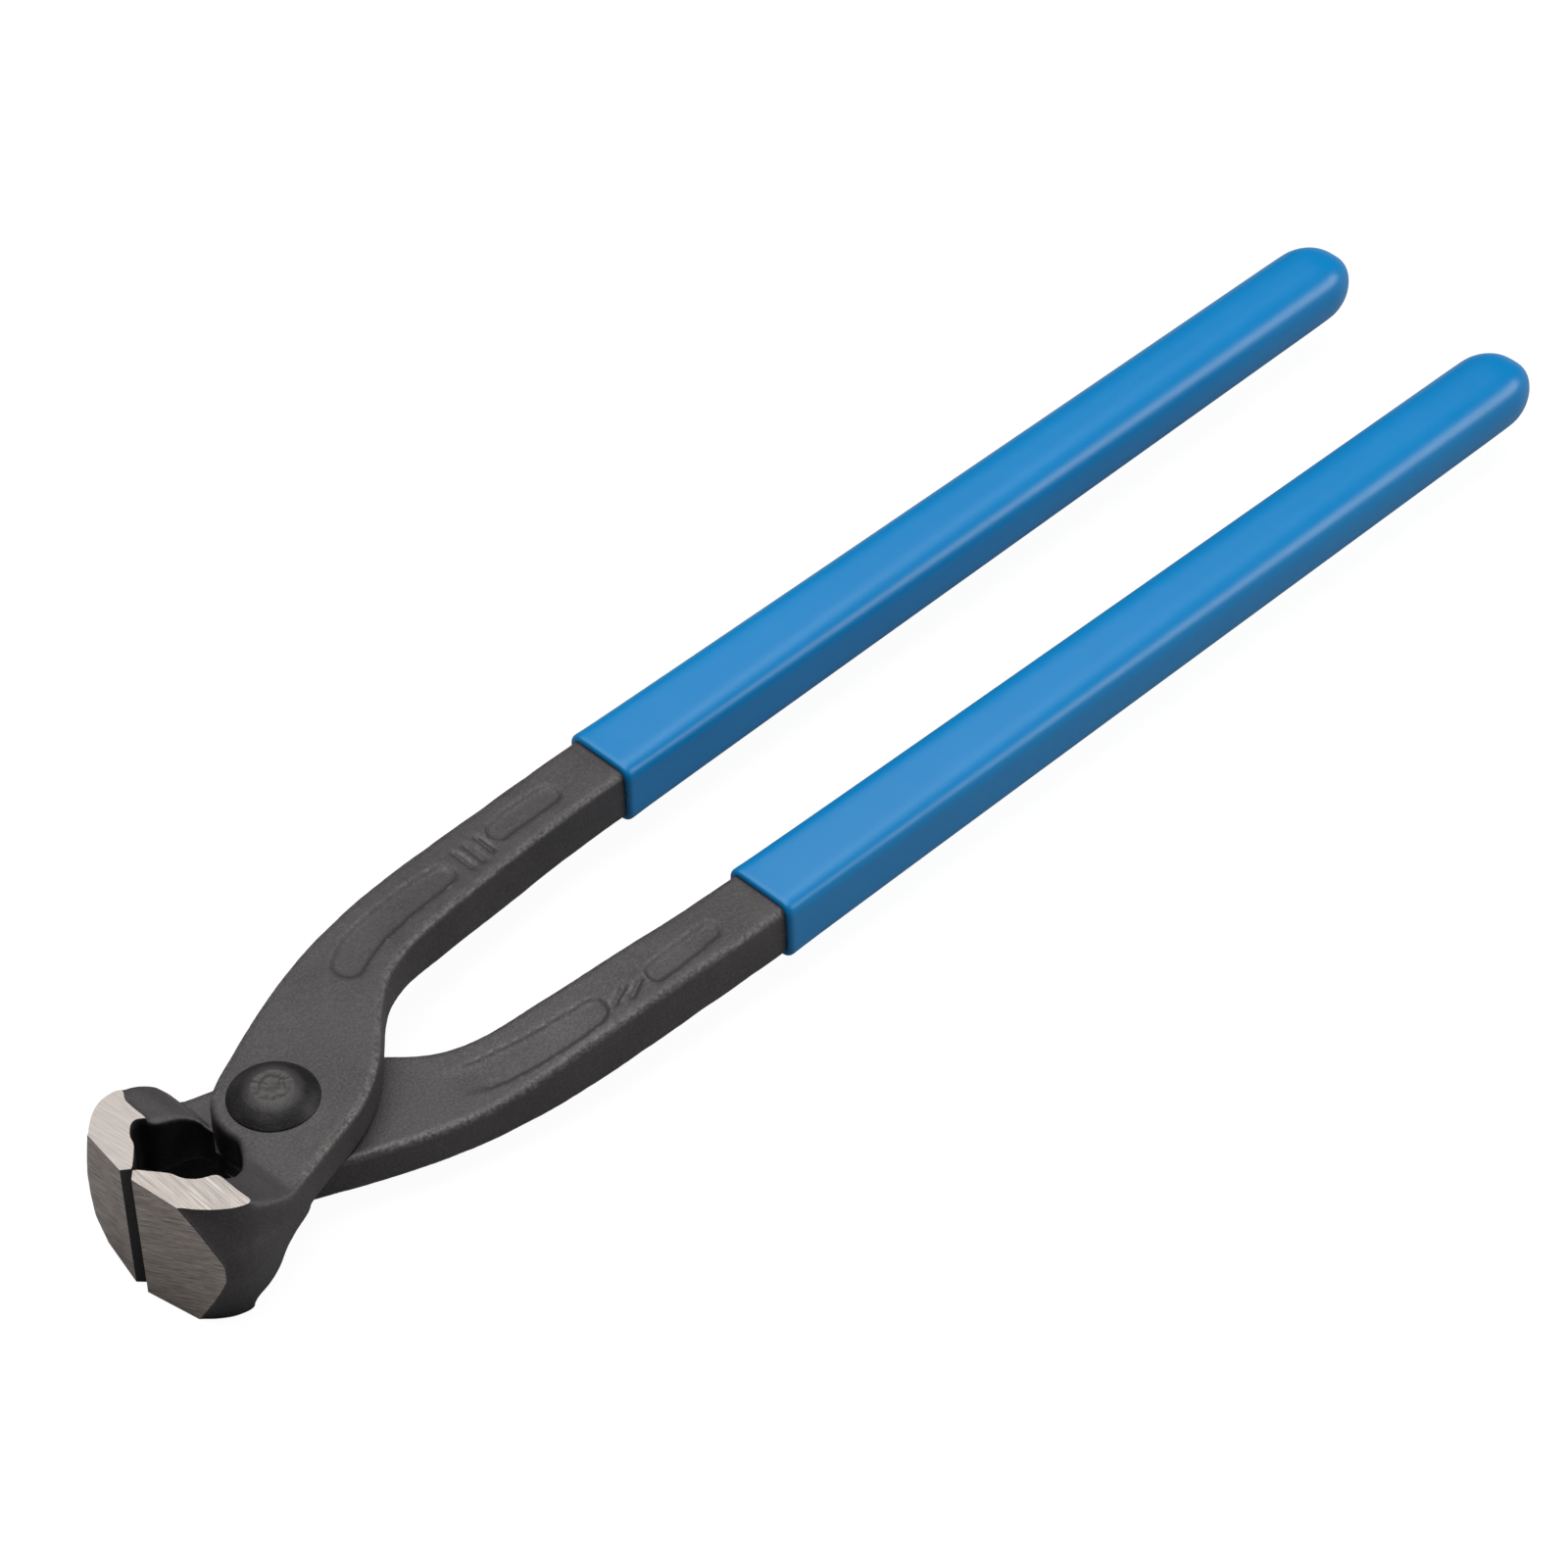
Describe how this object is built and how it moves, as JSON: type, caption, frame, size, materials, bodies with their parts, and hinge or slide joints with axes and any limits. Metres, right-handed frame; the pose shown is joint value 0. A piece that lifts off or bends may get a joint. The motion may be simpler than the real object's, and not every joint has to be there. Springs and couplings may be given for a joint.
{
  "type": "end cutting nippers",
  "caption": "Long-handled end cutting nippers: two forged levers on one rivet, ground front-cutting jaws and dipped plastic grips.",
  "frame": {"origin": "on the plane of the jaws' ground bottom, under the middle of the closed tool's box", "axes": "+X from the jaws to the handle ends, +Y towards the upper lever's handle, +Z along the rivet, up"},
  "size_m": [0.28, 0.0524, 0.0244],
  "materials": {
    "forged_steel": "black phosphate on a drop forging, fine sandblasted grain",
    "ground_steel": "bare steel ground on a belt, fine parallel lines",
    "rivet_steel": "black upset rivet head, satin",
    "blue_grip": "smooth dipped vinyl, soft gloss"
  },
  "bodies": {
    "lower_half": {"lower_lever": "forged_steel", "lower_grip": "blue_grip", "pivot_rivet": "rivet_steel"},
    "upper_half": {"upper_lever": "forged_steel", "upper_grip": "blue_grip"}
  },
  "joints": [
    {"name": "pivot", "type": "hinge", "parent": "lower_half", "child": "upper_half", "pos_m": [-0.1127, 0, 0.0122], "axis": [0, 0, 1], "range_deg": [0, 42]}
  ]
}
